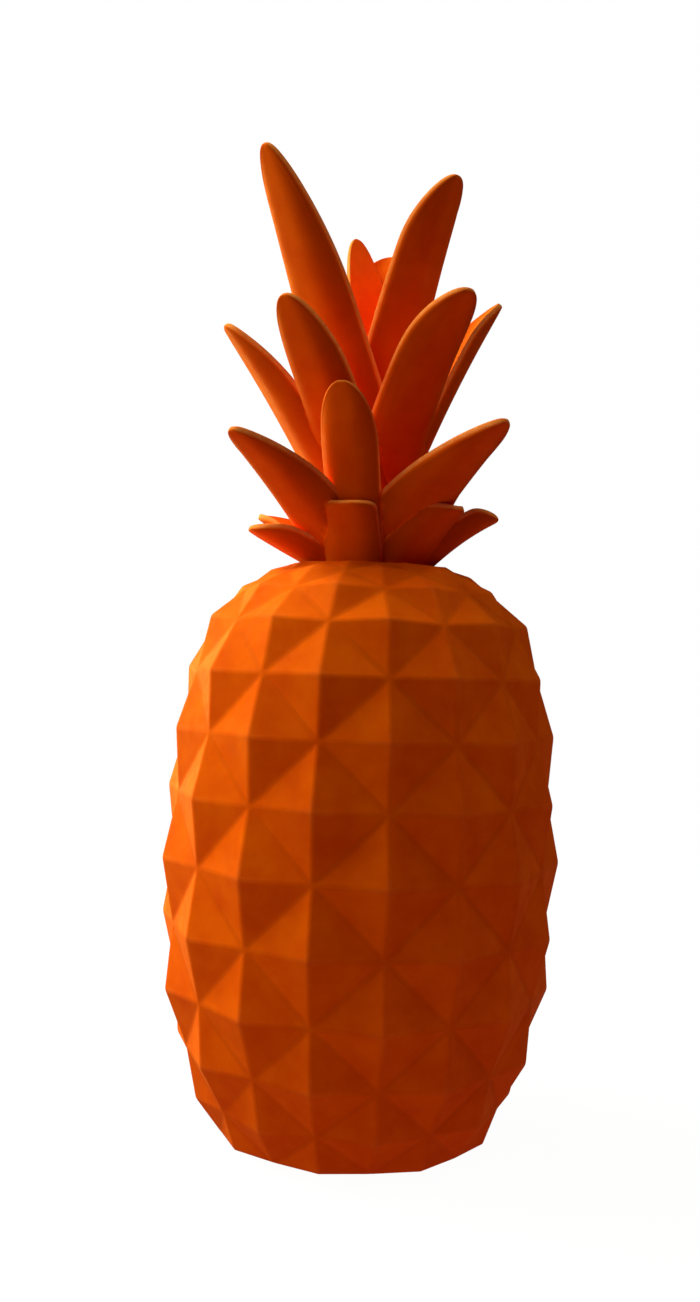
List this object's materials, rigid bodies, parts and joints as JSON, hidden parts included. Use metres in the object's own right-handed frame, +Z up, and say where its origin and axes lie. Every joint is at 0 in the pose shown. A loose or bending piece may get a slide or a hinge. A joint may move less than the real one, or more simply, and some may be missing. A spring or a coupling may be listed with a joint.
{
  "type": "pineapple figurine",
  "caption": "Ornamental pineapple: an oval fruit netted with four-sided pyramids, a narrow neck and a spread crown of thick tongue-shaped leaves.",
  "frame": {"origin": "centre of the flat underside that the figurine stands on", "axes": "+Z up through the fruit and the crown, -Y towards the front as pictured, +X to the viewer's right"},
  "size_m": [0.13, 0.129, 0.3078],
  "materials": {
    "matt_orange": "matt, slightly velvety single-colour coat all over"
  },
  "bodies": {
    "root": {"pineapple_figurine": "matt_orange"}
  },
  "joints": []
}
